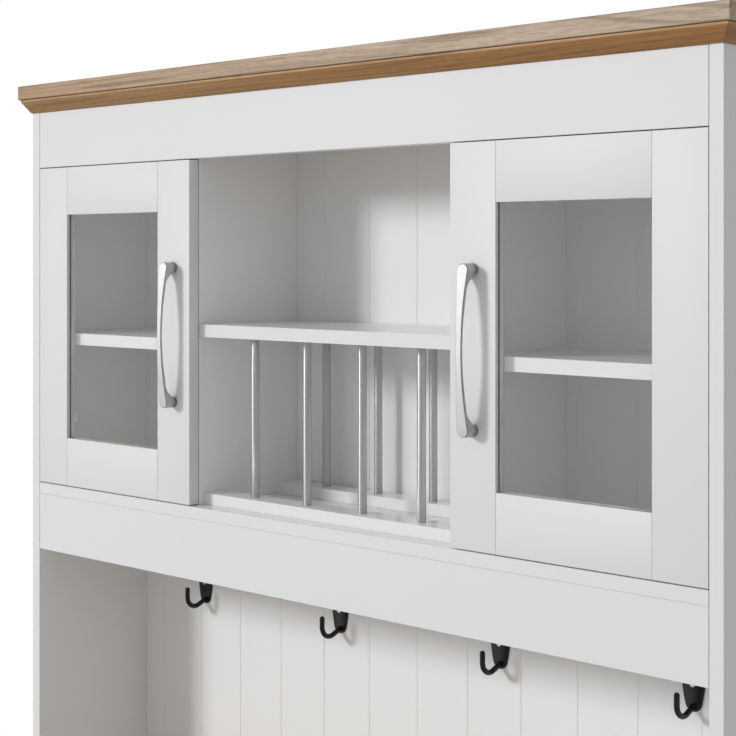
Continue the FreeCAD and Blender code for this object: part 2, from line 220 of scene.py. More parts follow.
def makeEdgeMask():
    # Grows from 0 on flat stretches to 1 where the surface turns within the radius
    inputs = [("Radius", "Float", 0.001), ("Gain", "Float", 3.0)]
    group, given, out = newGroup("edgeMask", inputs, [("Mask", "Float")])
    soft = addNode(group, "Bevel", {"Radius": given["Radius"]}, samples=4).outputs[0]
    true = addNode(group, "NewGeometry").outputs["Normal"]
    agree = addNode(group, "VectorMath", {0: soft, 1: true}, operation="DOT_PRODUCT").outputs["Value"]
    bend = math2(group, "SUBTRACT", 1.0, agree)
    group.links.new(math2(group, "MULTIPLY", bend, given["Gain"], clamp=True), out["Mask"])
    return group


def makeContactShade():
    # Painted shade: 1 in the open, falling towards 1 minus the depth where another surface stands close by
    inputs = [("Distance", "Float", 0.004), ("Depth", "Float", 0.5)]
    group, given, out = newGroup("contactShade", inputs, [("Shade", "Float")])
    clear = addNode(group, "AmbientOcclusion", {"Distance": given["Distance"]}, samples=8).outputs["AO"]
    lost = math2(group, "MULTIPLY", math2(group, "SUBTRACT", 1.0, clear), given["Depth"])
    group.links.new(math2(group, "SUBTRACT", 1.0, lost), out["Shade"])
    return group


coatedSkin = makeCoatedSkin()
oakGrain = makeOakGrain()
brushing = makeBrushing()
edgeMask = makeEdgeMask()
contactShade = makeContactShade()


def newMaterial(name):
    material = bpy.data.materials.new(name)
    material.use_nodes = True
    tree = material.node_tree
    shader = tree.nodes["Principled BSDF"]
    place = addNode(tree, "TexCoord").outputs["Object"]
    return material, tree, shader, place


def bump(tree, shader, height, strength, distance):
    node = addNode(tree, "Bump", {"Strength": strength, "Distance": distance, "Height": height})
    tree.links.new(node.outputs[0], shader.inputs["Normal"])


# Coated surfaces: the round that counts as an edge, how near another surface must stand for painted shade
# on this one and how dark that shade is, the strength of the gloss and of the dimples, and from where a
# face counts as level or as looking inwards
coatLook = {
    "edgeRadius": 0.0012, "edgeGain": 2.0, "contactReach": 0.0035, "contactDepth": 0.12,
    "specular": 0.3, "dimples": 0.25, "level": (0.7, 0.9), "inward": (-0.6, -0.8),
}


def facingIn(tree, place):
    # 1 on the upright faces that look towards the middle of the buffet, 0 elsewhere
    side = math1(tree, "SIGN", partOf(tree, place, 0))
    return spread(tree, math2(tree, "MULTIPLY", facing(tree, 0), side), *coatLook["inward"], 0.0, 1.0)


def coated(name, colour, rough, roughSpread, mottle, dimpleDepth, edge, dimple=900.0, metallic=0.0,
           inner=None, upper=None):
    # Cloudy colour and gloss, fine dimples, and edges that shade off a little. The inner colour is that of
    # the faces that look inwards, upper the colour and roughness of those that look up. Both colours are
    # painted
    # light: copies of the colour made lighter or darker for how light falls on those faces.
    c = coatLook
    material, tree, shader, place = newMaterial(name)
    skin = placeGroup(tree, coatedSkin, {"Vector": place, "Dimple": dimple})
    rim = placeGroup(tree, edgeMask, {"Radius": c["edgeRadius"], "Gain": c["edgeGain"]})["Mask"]
    near = placeGroup(tree, contactShade, {"Distance": c["contactReach"], "Depth": c["contactDepth"]})
    tone = spread(tree, skin["Clouds"], *noiseRange, 1.0 - mottle, 1.0 + mottle)
    tone = math2(tree, "ADD", tone, math2(tree, "MULTIPLY", rim, edge))
    # Painted shade where another surface stands near
    tone = math2(tree, "MULTIPLY", tone, near["Shade"])
    # Painted light: the faces that look inwards take the inner colour
    tint = blend(tree, facingIn(tree, place), (*colour, 1), (*inner, 1)) if inner else (*colour, 1)
    gloss = spread(tree, skin["Clouds"], *noiseRange, rough - roughSpread, rough + roughSpread)
    # Painted light on the faces that look up, which also get their own roughness
    if upper:
        upward = spread(tree, facing(tree, 2), *c["level"], 0.0, 1.0)
        tint = blend(tree, upward, tint, (*upper[0], 1))
        gloss = between(tree, upward, gloss, upper[1])
    tree.links.new(shade(tree, tint, tone), shader.inputs["Base Color"])
    tree.links.new(gloss, shader.inputs["Roughness"])
    shader.inputs["Metallic"].default_value = metallic
    shader.inputs["Specular IOR Level"].default_value = c["specular"]
    bump(tree, shader, skin["Height"], c["dimples"], dimpleDepth)
    return material


# Oak: the places and colours of the grain's three tones, what the left and the right end multiply them by,
# a painted sheen that changes along the crown, and for the moulding the painted light on its upright lip
# and the painted shadow in the dark line above it
oakLook = {
    "rough": 0.55, "roughSpread": 0.08, "glossRange": (0.2, 0.8), "places": (0.39, 0.69, 0.95),
    "poreDarkening": 0.30, "edgeDarkening": 0.10, "edgeRadius": 0.0015, "edgeGain": 2.0,
    "bump": 0.5, "bumpDepth": 0.0002,
}
boardOak = {
    "tones": ((0.285, 0.185, 0.105), (0.455, 0.315, 0.195), (0.560, 0.405, 0.265)),
    "left": (0.86, 0.77, 0.66), "right": (1.03, 1.14, 1.30),
}
mouldingOak = {
    "tones": ((0.252, 0.113, 0.033), (0.372, 0.177, 0.056), (0.452, 0.230, 0.082)),
    "left": (0.94, 1.10, 1.33), "right": (0.95, 0.94, 0.91),
    "lip": 0.0036, "lipTone": (1.40, 1.60, 1.95), "line": 0.0013, "lineTone": (0.40, 0.32, 0.24),
    "soft": 0.0006,
}


def paintLipLightAndLineShade(tree, place, colour, wood):
    # Painted light on the upright lip at the top of the moulding, which is made paler, and a painted
    # shadow in the dark line where the crown board lies on it
    top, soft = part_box("crown_moulding")[1][2], wood["soft"]
    height = partOf(tree, place, 2)
    lip, line = top - wood["lip"], top - wood["line"]
    onLip = spread(tree, height, lip - soft, lip + soft, 0.0, 1.0)
    colour = blend(tree, onLip, colour, shade(tree, colour, (*wood["lipTone"], 1)))
    onLine = spread(tree, height, line, line + soft / 2, 0.0, 1.0)
    return blend(tree, onLine, colour, shade(tree, colour, (*wood["lineTone"], 1)))


def oak(name, vectorOf, wood):
    # Oiled oak whose grain follows the vector that vectorOf makes from the object's place
    look = oakLook
    material, tree, shader, place = newMaterial(name)
    grain = placeGroup(tree, oakGrain, {"Vector": vectorOf(tree, place)})
    colour = ramp(tree, grain["Tone"], list(zip(look["places"], wood["tones"])))
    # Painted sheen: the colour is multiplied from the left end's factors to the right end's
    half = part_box("crown_board")[1][0]
    share = spread(tree, partOf(tree, place, 0), -half, half, 0.0, 1.0)
    colour = shade(tree, colour, blend(tree, share, (*wood["left"], 1), (*wood["right"], 1)))
    if "lip" in wood:
        colour = paintLipLightAndLineShade(tree, place, colour, wood)
    rim = placeGroup(tree, edgeMask, {"Radius": look["edgeRadius"], "Gain": look["edgeGain"]})["Mask"]
    dim = spread(tree, grain["Pores"], 0.0, 1.0, 1.0, 1.0 - look["poreDarkening"])
    dim = math2(tree, "SUBTRACT", dim, math2(tree, "MULTIPLY", rim, look["edgeDarkening"]))
    tree.links.new(shade(tree, colour, dim), shader.inputs["Base Color"])
    rough, swing = look["rough"], look["roughSpread"]
    gloss = spread(tree, grain["Tone"], *look["glossRange"], rough + swing, rough - swing)
    tree.links.new(gloss, shader.inputs["Roughness"])
    bump(tree, shader, grain["Height"], look["bump"], look["bumpDepth"])
    return material


def alongX(tree, place):
    return place


def mitredRuns(tree, place):
    # Along X in front of the two 45 degree mitres, and along Y behind them
    lo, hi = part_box("crown_moulding")
    x, y, z = (partOf(tree, place, axis) for axis in range(3))
    inward = math2(tree, "SUBTRACT", hi[0], math1(tree, "ABSOLUTE", x))
    onSide = math2(tree, "GREATER_THAN", math2(tree, "SUBTRACT", y, lo[1]), inward)
    turned = addNode(tree, "CombineXYZ", {0: y, 1: x, 2: z}).outputs[0]
    return addNode(tree, "Mix", {0: onSide, 4: place, 5: turned}, data_type="VECTOR").outputs[1]


# Metals: how far the cloudy patches swing the grey, the painted highlight that the edges add to it, how
# near another surface must stand for painted shade on it, and where a handle's face counts as round
# between its front and its sides
brushLook = {
    "clouds": (0.96, 1.04), "edgeRadius": 0.0008, "edgeGain": 2.0, "edgeLight": 0.06,
    "contactReach": 0.010, "roughShare": 0.12, "bump": 0.1, "turning": (0.50, 0.75),
    "fromSide": (-0.10, -0.30), "fromFront": (-0.975, -0.93),
}


def brushed(name, grey, metallic, rough, depth, tilt=(0, 0, 0), edge=None, contact=1.5, grazing=0.0):
    # Satin metal: scratches run along Z, or along the axis that tilt turns onto it. The edge is the grey
    # and the roughness of the round between the front and the sides; its darker grey is a painted dark
    # reflection.
    # Contact is how dark the painted shade gets where another surface stands near. grazing is what the
    # colour loses where the surface turns away, a painted shade.
    b = brushLook
    material, tree, shader, place = newMaterial(name)
    along = addNode(tree, "Mapping", {"Vector": place, "Rotation": tilt}).outputs[0]
    marks = placeGroup(tree, brushing, {"Vector": along})
    rim = placeGroup(tree, edgeMask, {"Radius": b["edgeRadius"], "Gain": b["edgeGain"]})["Mask"]
    near = placeGroup(tree, contactShade, {"Distance": b["contactReach"], "Depth": contact})["Shade"]
    tone = spread(tree, marks["Clouds"], *noiseRange, *b["clouds"])
    tone = math2(tree, "ADD", tone, math2(tree, "MULTIPLY", rim, b["edgeLight"]))
    # Painted shade where another surface stands near, as at the handles' feet
    tone = math2(tree, "MULTIPLY", tone, near)
    # Painted shade where the surface turns away from the view
    if grazing:
        turning = addNode(tree, "LayerWeight", {"Blend": 0.5}).outputs["Facing"]
        lost = spread(tree, turning, *b["turning"], 1.0, 1.0 - grazing)
        tone = math2(tree, "MULTIPLY", tone, lost)
    swing = b["roughShare"] * rough
    gloss = spread(tree, marks["Scratches"], *noiseRange, rough - swing, rough + swing)
    tint = (grey, grey, grey * 0.99, 1)
    # The round of a handle gets the edge's darker grey: a painted dark reflection
    if edge:
        ahead = facing(tree, 1)
        onRound = math2(tree, "MULTIPLY", spread(tree, ahead, *b["fromSide"], 0.0, 1.0),
                        spread(tree, ahead, *b["fromFront"], 0.0, 1.0))
        tint = blend(tree, onRound, tint, (edge[0], edge[0], edge[0], 1))
        gloss = between(tree, onRound, gloss, edge[1])
    tree.links.new(shade(tree, tint, tone), shader.inputs["Base Color"])
    tree.links.new(gloss, shader.inputs["Roughness"])
    shader.inputs["Metallic"].default_value = metallic
    bump(tree, shader, marks["Scratches"], b["bump"], depth)
    return material


glassLook = {
    "colour": (0.997, 0.991, 0.984), "ior": 1.45,
    "smear": 0.02, "wipe": (3.0, 3.0, 9.0), "wipeScale": 2.0, "wipeRange": (0.4, 0.8),
}


def clearGlass():
    # A clear pane with faint wipe marks in its gloss; light goes through it to the shelves
    material, tree, shader, place = newMaterial("clearGlass")
    shader.inputs["Base Color"].default_value = (*glassLook["colour"], 1)
    shader.inputs["Transmission Weight"].default_value = 1.0
    shader.inputs["IOR"].default_value = glassLook["ior"]
    wipes = noise(tree, stretched(tree, place, *glassLook["wipe"]), glassLook["wipeScale"], 4.0)
    smear = spread(tree, wipes, *glassLook["wipeRange"], 0.0, glassLook["smear"])
    tree.links.new(smear, shader.inputs["Roughness"])
    path = addNode(tree, "LightPath").outputs
    straight = addNode(tree, "BsdfTransparent", {"Color": (*glassLook["colour"], 1)})
    passing = math2(tree, "MAXIMUM", path["Is Shadow Ray"], path["Is Diffuse Ray"])
    mix = addNode(tree, "MixShader", {0: passing, 1: shader.outputs[0], 2: straight.outputs[0]})
    tree.links.new(mix.outputs[0], tree.nodes["Material Output"].inputs["Surface"])
    return material


# White boards: the colour of the fronts; the lighter colours of the boards around the compartments, of the
# inner faces of the sides and of the rack strips, which are painted light; and the finish that they share,
# whose upper colour is painted light on the faces that look up
whiteLook = {
    "front": (0.775, 0.775, 0.777), "inside": (0.89, 0.89, 0.888),
    "sideInside": (0.845, 0.845, 0.843), "strip": (0.83, 0.83, 0.83),
}
whiteCoat = {
    "rough": 0.50, "roughSpread": 0.03, "mottle": 0.006, "dimpleDepth": 0.00003, "edge": -0.03,
    "upper": ((0.85, 0.85, 0.848), 0.20),
}
# The satin edge's darker grey is a painted dark reflection on the handles' rounds
satinLook = {"grey": 0.62, "metallic": 0.8, "rough": 0.63, "depth": 0.00001, "edge": (0.48, 0.22)}
rodFinish = {
    "grey": 0.62, "metallic": 0.55, "rough": 0.42, "depth": 0.000001, "contact": 0.2, "grazing": 0.70,
}
drawnLook = {"Anisotropic": 0.98, "Anisotropic Rotation": 0.25}  # the rods' gloss, smeared lengthwise

# The numbers of the smaller parts' coats are the roughness and its swing, the mottle, the depth of
# the dimples, what the edges add, and where they are given the dimples per metre and the metallic
materials = {
    "white_board": coated("whiteLacquer", whiteLook["front"], **whiteCoat),
    "whiteSide": coated("whiteSideBoard", whiteLook["front"], inner=whiteLook["sideInside"], **whiteCoat),
    "whiteStrip": coated("whiteStrip", whiteLook["strip"], **whiteCoat),
    "whiteInside": coated("whiteFoil", whiteLook["inside"], **whiteCoat),
    "drawer_board": coated("drawerFoil", (0.68, 0.68, 0.67), 0.5, 0.04, 0.01, 0.00005, -0.04),
    "oak": oak("oakAlongX", alongX, boardOak),
    "oakMitred": oak("oakMitred", mitredRuns, mouldingOak),
    "clear_glass": clearGlass(),
    "dark_seal": coated("glazingSeal", (0.28, 0.28, 0.275), 0.7, 0.05, 0.05, 0.00004, 0.1, 1500.0),
    "satin_metal": brushed("satinNickel", **satinLook),
    "satinAcross": brushed("satinNickelAcross", tilt=(0, math.pi / 2, 0), **satinLook),
    "rodMetal": brushed("rodNickel", **rodFinish),
    "nickel_steel": brushed("nickelSteel", 0.62, 1.0, 0.22, 0.00003),
    "black_enamel": coated("blackEnamel", (0.010, 0.010, 0.011), 0.26, 0.05, 0.1, 0.00003, 0.4, 1200.0),
    "runner_steel": coated("runnerCoat", (0.55, 0.55, 0.56), 0.4, 0.05, 0.03, 0.00004, 0.1, 1300.0, 0.6),
    "glide_plastic": coated("glidePlastic", (0.05, 0.05, 0.05), 0.55, 0.06, 0.06, 0.00005, 0.2, 1100.0),
}
for label, value in drawnLook.items():
    materials["rodMetal"].node_tree.nodes["Principled BSDF"].inputs[label].default_value = value
print("materials made:", len(materials))


# Meshes

def cellsOf(rows, columns, closed=False):
    # Quads of a grid of points; closed joins the last column to the first
    i = np.arange(rows - 1)[:, None]
    j = np.arange(columns if closed else columns - 1)[None, :]
    k = (j + 1) % columns
    quads = np.stack([i * columns + j, i * columns + k, (i + 1) * columns + k, (i + 1) * columns + j], -1)
    return quads.reshape(-1, 4)


def cappedFaces(rows, columns):
    # Rings on top of each other, the first and the last closed by one face each
    faces = [tuple(q) for q in cellsOf(rows, columns, True)]
    return faces + [tuple(range(columns))[::-1], tuple(range((rows - 1) * columns, rows * columns))]


def gather(shells):
    # Several shells, each points and faces, as one list of points and one of faces
    points, faces, start = [], [], 0
    for shellPoints, shellFaces in shells:
        points.append(shellPoints)
        faces += [tuple(int(v) + start for v in face) for face in shellFaces]
        start += len(shellPoints)
    return np.concatenate(points), faces


def addPiece(name, shells, material, slot, body, nodes, normals=None):
    points, faces = gather(shells)
    mesh = bpy.data.meshes.new(name)
    mesh.from_pydata(points.tolist(), [], faces)
    mesh.polygons.foreach_set("use_smooth", np.ones(len(mesh.polygons), dtype=bool))
    if normals is not None:
        mesh.normals_split_custom_set_from_vertices(normals.tolist())
    mesh.materials.append(materials[material])
    piece = bpy.data.objects.new(name, mesh)
    bpy.context.scene.collection.objects.link(piece)
    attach(piece, body)
    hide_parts(*nodes)
    return piece


# The body that each node rides on, and the slot that its material fills
bodyOf = {node: body for body, nodes in frame["record"]["behaviour"]["bodies"].items() for node in nodes}
slotOf = {entry["node"]: entry["material_slot"] for entry in frame["record"]["subparts"]}


# Widths of the eased edges, and the fine open joints at the ends and tops of the rails
boardLook = {
    "edge": 0.0006, "oakEdge": 0.0010, "drawerEdge": 0.0008, "easeSteps": 2,
    "endJoint": 0.0008, "topJoint": 0.0001,
}


def boardShell(lo, hi, radius):
    # A box with eased edges. Each of the six faces is a grid whose two middle lines are the flat's
    # edges; outside them the point leaves the nearest core corner by the radius, along the
    # direction (tan a, tan b, 1) made one long.
    lo, hi, steps = np.array(lo), np.array(hi), boardLook["easeSteps"]
    bend = np.tan(np.linspace(0, math.pi / 4, steps + 1))
    lean = np.concatenate([-bend[::-1], bend])
    high = np.repeat([0, 1], steps + 1)
    count = len(lean)
    points, normals, faces = [], [], []
    for axis in range(3):
        u, v = (axis + 1) % 3, (axis + 2) % 3
        for sign in (-1, 1):
            way = np.zeros((count, count, 3))
            way[..., u] = lean[:, None]
            way[..., v] = lean[None, :]
            way[..., axis] = sign
            way /= np.linalg.norm(way, axis=-1, keepdims=True)
            pick = np.zeros((count, count, 3))
            pick[..., u] = high[:, None]
            pick[..., v] = high[None, :]
            pick[..., axis] = (sign + 1) / 2
            core = lo + radius + pick * (hi - lo - 2 * radius)
            quads = cellsOf(count, count) + len(points) * count * count
            faces.append(quads[:, ::-1] if sign > 0 else quads)
            points.append((core + radius * way).reshape(-1, 3))
            normals.append(way.reshape(-1, 3))
    points, normals, faces = np.concatenate(points), np.concatenate(normals), np.concatenate(faces)
    keys = np.round(points * 1e7).astype(np.int64)
    _, first, index = np.unique(keys, axis=0, return_index=True, return_inverse=True)
    return points[first], index.reshape(-1)[faces], normals[first]


def camel(node):
    words = (node if "_" in node else node + "_piece").split("_")
    return words[0] + "".join(word.capitalize() for word in words[1:])


def addBoards(boxes, node, radius):
    # One piece of several eased boards, standing for a node
    shells = [boardShell(lo, hi, radius) for lo, hi in boxes]
    normals = np.concatenate([shell[2] for shell in shells])
    slot, bare = slotOf[node], [shell[:2] for shell in shells]
    addPiece(camel(node), bare, slot, slot, bodyOf[node], [node], normals)


plainBoards = (
    "base_plinth", "base_bottom_board", "base_back_panel", "hutch_frieze", "hutch_top_panel",
    "hutch_floor_board", "niche_rail", "base_door_left_panel", "base_door_right_panel",
)


def makePlainBoards():
    for node in plainBoards:
        lo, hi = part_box(node)
        if node in ("hutch_frieze", "hutch_floor_board", "niche_rail"):
            lo = (lo[0] + boardLook["endJoint"], lo[1], lo[2])
            hi = (hi[0] - boardLook["endJoint"], hi[1], hi[2] - boardLook["topJoint"])
        addBoards([(lo, hi)], node, boardLook["edge"])
    for node in ("worktop", "crown_board"):
        lo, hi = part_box(node)
        addBoards([(lo, hi)], node, boardLook["oakEdge"])


makePlainBoards()

# Boards that share a node: the two shelves of a cabinet, its two stretchers, and a drawer's box
shelfLook = {"length": 0.312}
stretcherLook = {"depth": 0.080}
drawerLook = {"side": 0.012, "bottom": 0.005, "bottomRise": 0.010}


def makeShelves(node):
    lo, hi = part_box(node)
    length = shelfLook["length"]
    left = (lo, (lo[0] + length, hi[1], hi[2]))
    right = ((hi[0] - length, lo[1], lo[2]), hi)
    addBoards([left, right], node, boardLook["edge"])


def makeStretchers():
    lo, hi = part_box("base_stretchers")
    depth = stretcherLook["depth"]
    front = (lo, (hi[0], lo[1] + depth, hi[2]))
    rear = ((lo[0], hi[1] - depth, lo[2]), hi)
    addBoards([front, rear], "base_stretchers", boardLook["edge"])


def makeDrawerBox(node):
    lo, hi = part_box(node)
    side = drawerLook["side"]
    floor = lo[2] + drawerLook["bottomRise"]
    x0, x1 = lo[0] + side, hi[0] - side
    boxes = [(lo, (x0, hi[1], hi[2])), ((x1, lo[1], lo[2]), hi)]
    boxes.append(((x0, lo[1], lo[2]), (x1, lo[1] + side, hi[2])))
    boxes.append(((x0, hi[1] - side, lo[2]), (x1, hi[1], hi[2])))
    boxes.append(((x0, lo[1] + side, floor), (x1, hi[1] - side, floor + drawerLook["bottom"])))
    addBoards(boxes, node, boardLook["drawerEdge"])


makeShelves("hutch_side_shelves")
makeShelves("base_shelves")
makeStretchers()
for level in ("top", "middle", "bottom"):
    makeDrawerBox("drawer_" + level + "_box")
print("boards made")


# Boards with slots, holes or grooves: a merged copy of the node, its flats made whole, its edges
# eased. solidAt names the solid that a point inside the node belongs to, so that solids which touch
# stay apart: each face is asked for by a point just under it.
easeLook = {
    "under": 0.00005, "mergeWithin": 1e-6, "flatWithin": 0.5, "segments": 2, "angle": 30.0,
    "backEdge": 0.0003, "mouldingEdge": 0.0008,
}


def oneSolid(point):
    return 0


def addEased(node, width, solidAt=oneSolid, material=None, smooth=True):
    source, e = frame["nodes"][node].data, easeLook
    groups = {}
    for face in source.polygons:
        groups.setdefault(solidAt(face.center - face.normal * e["under"]), []).append(face.index)
    mesh = bpy.data.meshes.new(camel(node))
    whole = bmesh.new()
    for group in groups.values():
        work = bmesh.new()
        work.from_mesh(source)
        work.faces.ensure_lookup_table()
        others = set(range(len(work.faces))) - set(group)
        bmesh.ops.delete(work, geom=[work.faces[i] for i in others], context="FACES")
        bmesh.ops.remove_doubles(work, verts=work.verts, dist=e["mergeWithin"])
        flat = math.radians(e["flatWithin"])
        bmesh.ops.dissolve_limit(work, angle_limit=flat, verts=work.verts, edges=work.edges)
        part = bpy.data.meshes.new("part")
        work.to_mesh(part)
        work.free()
        whole.from_mesh(part)
        bpy.data.meshes.remove(part)
    whole.to_mesh(mesh)
    whole.free()
    mesh.polygons.foreach_set("use_smooth", np.full(len(mesh.polygons), smooth))
    mesh.materials.append(materials[material or slotOf[node]])
    piece = bpy.data.objects.new(camel(node), mesh)
    bpy.context.scene.collection.objects.link(piece)
    ease = piece.modifiers.new("ease", "BEVEL")
    ease.width = width
    ease.segments = e["segments"]
    ease.limit_method = "ANGLE"
    ease.angle_limit = math.radians(e["angle"])
    ease.harden_normals = smooth
    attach(piece, bodyOf[node])
    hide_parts(node)


easedBoards = (
    "hutch_side_left", "hutch_side_right", "hutch_partition_left", "hutch_partition_right",
    "base_side_left", "base_side_right", "base_partition_left", "base_partition_right",
    "rack_strip_front", "rack_strip_rear", "centre_shelf",
)
# Lighter whites, painted light: whiteInside for the partitions and the back panel, whiteSide for the
# sides' inner faces, whiteStrip for the rack strips
boardMaterials = {
    "hutch_side": "whiteSide", "base_side": "whiteSide", "hutch_partition": "whiteInside",
    "rack_strip": "whiteStrip",
}
easedFrames = (
    "hutch_door_left_frame", "hutch_door_right_frame", "base_door_left_frame", "base_door_right_frame",
    "drawer_top_front", "drawer_middle_front", "drawer_bottom_front",
)
frontLook = {"stile": 0.0641, "rail": 0.0674, "lap": 0.0085, "panelFront": 0.005, "panelBack": 0.009}


def frameSolid(node):
    # 0 and 1 are the stiles, 2 and 3 the rails, 4 the panel that a drawer's front holds
    lo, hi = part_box(node)
    f = frontLook
    left, right = lo[0] + f["stile"], hi[0] - f["stile"]
    low, high = lo[2] + f["rail"], hi[2] - f["rail"]
    panelled = node.startswith("drawer")

    def solidAt(point):
        x, y, z = point
        inside = left - f["lap"] < x < right + f["lap"] and low - f["lap"] < z < high + f["lap"]
        if panelled and inside and f["panelFront"] < y - lo[1] < f["panelBack"]:
            return 4
        if x < left:
            return 0
        if x > right:
            return 1
        return 2 if z < (low + high) / 2 else 3
    return solidAt


def mouldingRun(point):
    # 0 is the front run, 1 and 2 are the side runs behind the mitres
    lo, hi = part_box("crown_moulding")
    inFront = point[1] - lo[1] < hi[0] - abs(point[0])
    return 0 if inFront else 1 if point[0] < 0 else 2


# Boards with holes in them are shaded flat, because smooth normals smear around the holes
for node in easedBoards:
    look = boardMaterials.get(node.rpartition("_")[0])
    addEased(node, boardLook["edge"], material=look, smooth=False)
for node in easedFrames:
    addEased(node, boardLook["edge"], frameSolid(node))
addEased("hutch_back_panel", easeLook["backEdge"], material="whiteInside", smooth=False)
addEased("crown_moulding", easeLook["mouldingEdge"], mouldingRun, "oakMitred")
print("eased boards made")


# Small turned and swept shapes

def circleThrough(a, b, c):
    # Centre and radius of the circle through three points of a plane
    a, b, c = (np.array(p, dtype=float) for p in (a, b, c))
    m = 2 * np.array([b - a, c - a])
    side = np.array([b @ b - a @ a, c @ c - a @ a])
    centre = np.linalg.solve(m, side)
    return centre, np.linalg.norm(a - centre)


def arcPoints(a, b, c, count):
    # Points along the arc from a through b to c
    centre, radius = circleThrough(a, b, c)
    angles = [math.atan2(p[1] - centre[1], p[0] - centre[0]) for p in (a, b, c)]
    middle = (angles[1] - angles[0]) % (2 * math.pi)
    last = (angles[2] - angles[0]) % (2 * math.pi)
    sweep = last if middle < last else last - 2 * math.pi
    turn = angles[0] + np.linspace(0, sweep, count)
    return centre + radius * np.stack([np.cos(turn), np.sin(turn)], -1)


handleLook = {
    "length": 0.192, "reach": 0.025, "endReach": 0.0173, "endRadius": 0.008, "waist": 0.004,
    "bar": 0.0026, "post": 0.0133, "edge": 0.0013, "rearEdge": 0.0004, "endTurn": 84.0,
    "flareReach": (0.36, 0.72), "flareLength": (0.833, 0.646), "footRound": 0.0086, "roundDepth": 0.009,
    "endSteps": 12, "footSteps": 4, "flareSteps": 20, "gripSteps": 33, "edgeSteps": 4, "rearSteps": 3,
    "across": 9, "sharpAngle": 40.0,
}


def handleStations():
    # Rows of (height, inner depth) from the top end to the bottom one: the round end and the foot
    # lie on the door, then the inner depth climbs the flare's arc and follows the grip's arc
    h = handleLook
    half = h["length"] / 2
    foot, shoulder = half - h["post"], half - h["endRadius"]
    flare = [(b * half, a * h["reach"]) for a, b in zip(h["flareReach"], h["flareLength"])]
    turn = np.radians(np.linspace(h["endTurn"], 0, h["endSteps"]))
    roundEnd = shoulder + h["endRadius"] * np.sin(turn)
    heights = np.concatenate([roundEnd, np.linspace(shoulder, foot, h["footSteps"])[1:-1]])
    flareArc = arcPoints((foot, 0), flare[0], flare[1], h["flareSteps"])
    crest = (0, h["reach"] - h["bar"])
    gripArc = arcPoints(flare[1], crest, (-flare[1][0], flare[1][1]), h["gripSteps"])
    gripArc = gripArc[1:(h["gripSteps"] + 1) // 2]
    upper = np.concatenate([np.stack([heights, 0 * heights], -1), flareArc, gripArc])
    return np.concatenate([upper, (upper * (-1, 1))[-2::-1]])


def handleWidth(z):
    # Half the width at a height: an arc up to the shoulder, then the round end
    h = handleLook
    shoulder = h["length"] / 2 - h["endRadius"]
    ends = (shoulder, h["endRadius"]), (-shoulder, h["endRadius"])
    waistCentre, waist = circleThrough(ends[0], (0, h["waist"]), ends[1])
    width = waistCentre[1] - np.sqrt(waist ** 2 - np.minimum(np.abs(z), shoulder) ** 2)
    past = np.clip(np.abs(z) - shoulder, 0, h["endRadius"])
    return np.where(past > 0, np.sqrt(h["endRadius"] ** 2 - past ** 2), width)


def footPush(z, near, x):
    # How far the foot's inner side draws back towards the end, away from the middle line: a circle's
    # fall, fading out up the flare and towards the round end
    h = handleLook
    half = h["length"] / 2
    fall = h["footRound"] - np.sqrt(h["footRound"] ** 2 - x ** 2)
    up = np.clip(1 - near / h["roundDepth"], 0, 1)
    out = np.clip((half - np.abs(z)) / h["post"], 0, 1)
    return np.sign(z) * fall * up * np.where(np.abs(z) > half - h["post"], out, 1)


def loopOf(z):
    # The outline seen from the front, down one side and up the other, and its outward directions
    width = handleWidth(z)
    loop = np.concatenate([np.stack([width, z], -1), np.stack([-width, z], -1)[::-1]])
    ahead = np.roll(loop, -1, 0) - np.roll(loop, 1, 0)
    return loop, np.stack([-ahead[:, 1], ahead[:, 0]], -1) / np.linalg.norm(ahead, axis=1, keepdims=True)


